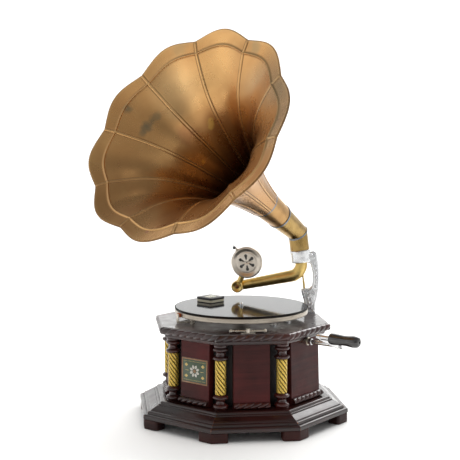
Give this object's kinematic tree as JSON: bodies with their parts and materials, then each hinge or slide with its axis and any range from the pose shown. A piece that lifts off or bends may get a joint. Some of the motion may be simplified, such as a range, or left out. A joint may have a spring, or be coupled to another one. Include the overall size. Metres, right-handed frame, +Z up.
{
  "type": "horn gramophone",
  "caption": "Table gramophone with a spring motor in an eight-sided wooden plinth case, a winding crank, a turntable, a swinging tone arm with sound box and a large petalled brass horn.",
  "frame": {"origin": "on the axis of the eight-sided case, which is also the turntable spindle axis, level with the undersides of the feet", "axes": "+Z up along the turntable spindle, -Y out of the front panel and the way the horn faces, +X out of the side with the winding crank"},
  "size_m": [0.4826, 0.508, 0.7087],
  "materials": {
    "wood": "high gloss mahogany stain",
    "carved_wood": "gloss stained carving",
    "gilt": "gold paint, dark in the hollows",
    "plaque": "painted field with a gold border",
    "nickel": "polished nickel",
    "cast_alloy": "polished casting",
    "screw_steel": "satin",
    "steel": "satin",
    "gear_brass": "machined",
    "brass": "polished",
    "horn_bronze": "aged, blotchy lacquer",
    "solder": "dull grey",
    "felt": "short nap",
    "shellac": "glossy pressed disc",
    "black_grip": "black lacquer",
    "pad_leather": "suede",
    "mica": "thin sheet",
    "tin_cream": "worn enamel",
    "tin_black": "worn enamel"
  },
  "bodies": {
    "cabinet": {"feet": "wood", "plinth_moulding": "wood", "bottom_board": "wood", "wall_panels": "wood", "niche_backs": "wood", "column_bases": "carved_wood", "column_twists": "gilt", "column_capitals": "carved_wood", "lower_rope_mouldings": "carved_wood", "frieze_rails": "wood", "top_board": "wood", "top_rope_moulding": "carved_wood", "front_plaque": "plaque", "crank_bush": "nickel", "bracket_casting": "cast_alloy", "bracket_screws": "screw_steel", "speed_plate": "nickel", "brake_post": "nickel", "motor_plates": "steel", "motor_pillars": "steel", "motor_bolts": "screw_steel"},
    "turntable": {"spindle": "nickel", "spindle_gears": "gear_brass", "platter": "nickel", "felt_mat": "felt", "record": "shellac"},
    "needle_tin": {"needle_tin_base": "tin_cream", "needle_tin_lid": "tin_black"},
    "barrel": {"spring_barrel": "steel", "barrel_cover": "steel", "mainspring": "steel"},
    "arbor": {"winding_arbor": "steel", "bevel_wheel": "steel"},
    "crank": {"crank_shaft": "nickel", "bevel_pinion": "steel", "crank_arm": "nickel", "grip_spindle": "nickel"},
    "grip": {"crank_grip": "black_grip"},
    "governor": {"governor_shaft": "steel", "governor_weights": "gear_brass"},
    "brake": {"brake_lever": "nickel", "brake_pad": "pad_leather"},
    "speed_control": {"speed_lever": "nickel"},
    "tonearm": {"tonearm_tube": "brass", "tonearm_pivot_pin": "nickel", "flip_screw": "nickel"},
    "soundbox": {"gooseneck": "brass", "soundbox_back": "nickel", "soundbox_front": "nickel", "diaphragm": "mica", "needle_bar": "nickel", "needle_screw": "nickel", "needle": "nickel"},
    "horn": {"horn_tube": "brass", "horn_elbow": "brass", "horn_collar": "brass", "solder_rings": "solder", "horn_petals": "horn_bronze", "horn_seams": "horn_bronze", "horn_rim_wire": "horn_bronze"}
  },
  "joints": [
    {"name": "turntable_spin", "type": "hinge", "parent": "cabinet", "child": "turntable", "pos_m": [0, 0, 0.2], "axis": [0, 0, 1], "continuous": true},
    {"name": "barrel_turn", "type": "hinge", "parent": "cabinet", "child": "barrel", "pos_m": [0.05625, 0, 0.118], "axis": [0, 0, 1], "continuous": true},
    {"name": "governor_spin", "type": "hinge", "parent": "cabinet", "child": "governor", "pos_m": [-0.0288, 0, 0.115], "axis": [0, 0, 1], "continuous": true},
    {"name": "crank_turn", "type": "hinge", "parent": "cabinet", "child": "crank", "pos_m": [0.15, 0, 0.158], "axis": [1, 0, 0], "continuous": true},
    {"name": "arbor_turn", "type": "hinge", "parent": "cabinet", "child": "arbor", "pos_m": [0.05625, 0, 0.12], "axis": [0, 0, 1], "continuous": true},
    {"name": "grip_spin", "type": "hinge", "parent": "crank", "child": "grip", "pos_m": [0.26, -0.0644, 0.1835], "axis": [1, 0, 0], "continuous": true},
    {"name": "tonearm_swing", "type": "hinge", "parent": "cabinet", "child": "tonearm", "pos_m": [0.0505, 0.1264, 0.2726], "axis": [-0.097, -0.0738, 0.9925], "range_deg": [-25, 34]},
    {"name": "soundbox_flip", "type": "hinge", "parent": "tonearm", "child": "soundbox", "pos_m": [-0.06273, 0.07171, 0.23006], "axis": [0.442, -0.8967, -0.0234], "range_deg": [0, 100.5]},
    {"name": "horn_swivel", "type": "hinge", "parent": "cabinet", "child": "horn", "pos_m": [0.0505, 0.1264, 0.2726], "axis": [-0.097, -0.0738, 0.9925], "range_deg": [-40, 40]},
    {"name": "brake_turn", "type": "hinge", "parent": "cabinet", "child": "brake", "pos_m": [-0.04, -0.095, 0.1856], "axis": [0, 0, 1], "range_deg": [0, 20]},
    {"name": "speed_turn", "type": "hinge", "parent": "cabinet", "child": "speed_control", "pos_m": [0.09542, -0.10597, 0.186], "axis": [0, 0, 1], "range_deg": [-12, 12]},
    {"name": "tin_lift", "type": "slide", "parent": "turntable", "child": "needle_tin", "axis": [0, 0, 1], "range_m": [0, 0.06]}
  ],
  "couplings": [
    {"joint": "barrel_turn", "follows": "turntable_spin", "ratio": -0.25},
    {"joint": "governor_spin", "follows": "turntable_spin", "ratio": -5},
    {"joint": "arbor_turn", "follows": "crank_turn", "ratio": 0.5}
  ]
}
